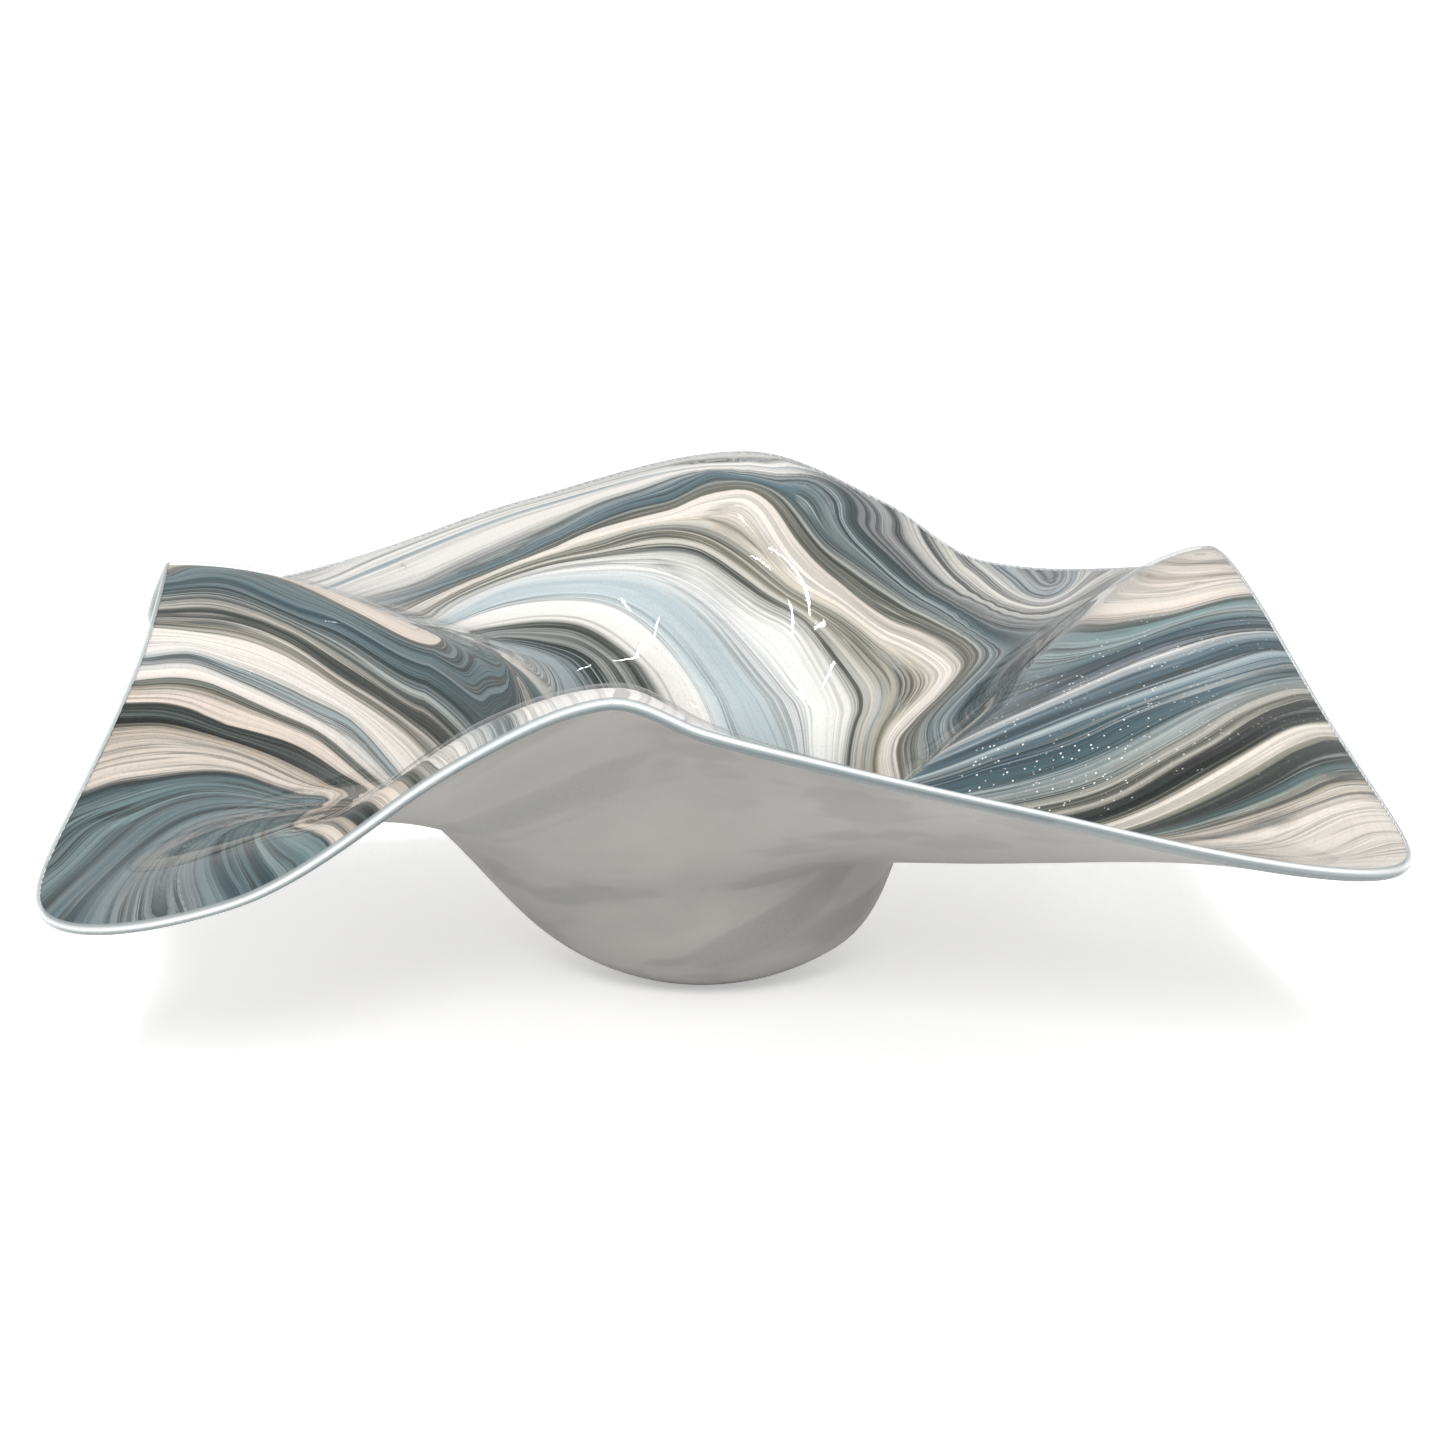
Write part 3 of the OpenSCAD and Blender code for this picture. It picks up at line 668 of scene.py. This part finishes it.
outer = mix.node("ShaderNodeNewGeometry", output=6)
tinted = mix.node("ShaderNodeMixShader", {0: 0.80 * (1 - outer), 1: through, 2: body})
clear = mix.node("ShaderNodeMixShader", {0: (fresnel + 0.06) * (1 - outer), 1: tinted, 2: shine})
mix.tree.links.new(clear.socket, out.inputs[0])

# The bead's section is half an ellipse: middle of the edge + away x cos t + up x sin t, where up reaches
# half the edge's thickness and away the bulge. "down" runs from 0 at its top to 1 underneath.
LIP_BULGE, LIP_STEPS = 0.0019, 18
rim = np.array([3.0])
low, high = skin(rim, 0)[0], skin(rim, BACKING + COLOUR + CASING - ROUNDING)[0]
up = (high - low) / 2
along = np.roll(low, -1, 0) - np.roll(low, 1, 0)
away = np.cross(along, up)
away *= LIP_BULGE / np.linalg.norm(away, axis=-1, keepdims=True)
t = np.linspace(np.pi / 2, -np.pi / 2, LIP_STEPS + 1)[:, None, None]
loops = (low + high) / 2 + away * np.cos(t) + up * np.sin(t)
loops = np.concatenate([loops, [low + 0.5 * up, (low + high) / 2, high - 0.5 * up]])
i, j = np.meshgrid(np.arange(len(loops)), np.arange(DIRECTIONS), indexing="ij")
after_i, after_j = (i + 1) % len(loops), (j + 1) % DIRECTIONS
faces = np.stack([i, after_i, after_i, i], -1) * DIRECTIONS + np.stack([j, j, after_j, after_j], -1)
mesh = bpy.data.meshes.new("clear_rim_lip")
mesh.from_pydata(loops.reshape(-1, 3).tolist(), [], faces.reshape(-1, 4).tolist())
mesh.update()
mesh.polygons.foreach_set("use_smooth", np.ones(len(mesh.polygons), bool))
mesh.set_sharp_from_angle(angle=np.radians(60))
mesh.attributes.new("down", "FLOAT", "POINT").data.foreach_set("value", np.repeat(np.concatenate(
    [np.linspace(0, 1, LIP_STEPS + 1), [0.9, 0.5, 0.1]]), DIRECTIONS).astype(np.float32))
mesh.materials.append(lip_glass_painted_light)
lip = bpy.data.objects.new("clear_rim_lip", mesh)
bpy.context.collection.objects.link(lip)
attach(lip, "root")
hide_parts("rim_lip")

# The studio: a plain white floor and surroundings, one soft lamp in front and one overhead, and four narrow
# strip lamps, each a thin beam on one stretch of the glass, for the streaks of light that run over it.
floor_finish, mix, out = recipe("studio_floor")
plain = mix.node("ShaderNodeBsdfDiffuse", {0: (0.98, 0.98, 0.98, 1)})
glow = mix.node("ShaderNodeEmission", {0: (1, 1, 1, 1), 1: mix.node("ShaderNodeLightPath") * 0.40})
lit = mix.node("ShaderNodeAddShader", {0: plain, 1: glow})
mix.tree.links.new(lit.socket, out.inputs[0])
mesh = bpy.data.meshes.new("floor")
FLOOR_HALF, FLOOR_Z = 30, -0.0001
mesh.from_pydata([(FLOOR_HALF * a, FLOOR_HALF * b, FLOOR_Z) for a, b in ((-1, -1), (1, -1), (1, 1), (-1, 1))],
                 [], [(0, 1, 2, 3)])
mesh.materials.append(floor_finish)
floor = bpy.data.objects.new("floor", mesh)
bpy.context.collection.objects.link(floor)

scene = bpy.context.scene
scene.world = bpy.data.worlds.new("studio")
scene.world.use_nodes = True
mix, sky = Mix(scene.world.node_tree), scene.world.node_tree.nodes["Background"]
sky.inputs[0].default_value = (1, 1, 1, 1)
seen = mix.node("ShaderNodeLightPath") * 0.43 + 0.62
mix.tree.links.new(seen.socket, sky.inputs[1])
scene.view_settings.view_transform = "Standard"


def lamp(name, place, width, height, power, aim=(0.03, 0.10, 0.10), spread=180.0):
    """A rectangular lamp that faces aim and gives power watts into a cone of spread degrees."""
    light = bpy.data.lights.new(name, "AREA")
    light.shape, light.size, light.size_y, light.energy = "RECTANGLE", width, height, power
    light.spread = np.radians(spread)
    made = bpy.data.objects.new(name, light)
    made.location = place
    made.rotation_euler = (Vector(aim) - Vector(place)).to_track_quat("-Z", "Y").to_euler()
    bpy.context.collection.objects.link(made)
    return made


lamp("key", (-0.12, -2.1, 1.25), 0.5, 0.5, 24.0)
overhead = lamp("overhead", (0.0, 0.05, 2.2), 0.5, 0.5, 26.0)
overhead.visible_glossy = False
lamp("strip_right", (0.57, 0.22, 1.5), 0.010, 0.36, 0.006, aim=(0.045, 0.110, 0.105), spread=9.0)
lamp("strip_corner", (0.80, 0.42, 1.5), 0.010, 0.30, 0.005, aim=(0.052, 0.112, 0.105), spread=8.0)
lamp("strip_back", (0.25, 0.49, 1.5), 0.42, 0.010, 0.005, aim=(0.012, 0.155, 0.150), spread=8.0)
lamp("strip_front", (1.08, -0.83, 1.5), 0.66, 0.012, 0.009, aim=(-0.005, 0.086, 0.085), spread=8.0)

# The camera: low, in front, a little above the rim
camera = bpy.data.objects.new("camera", bpy.data.cameras.new("camera"))
camera.location = (0.0, -1.3613, 0.4018)
camera.rotation_euler = (Vector((0, 0, 0.075)) - camera.location).to_track_quat("-Z", "Y").to_euler()
camera.data.lens, camera.data.sensor_width = 91.3, 36.0
camera.data.shift_x, camera.data.shift_y = 0.0142, 0.0397
camera.data.clip_end = 100.0
bpy.context.collection.objects.link(camera)
scene.camera = camera
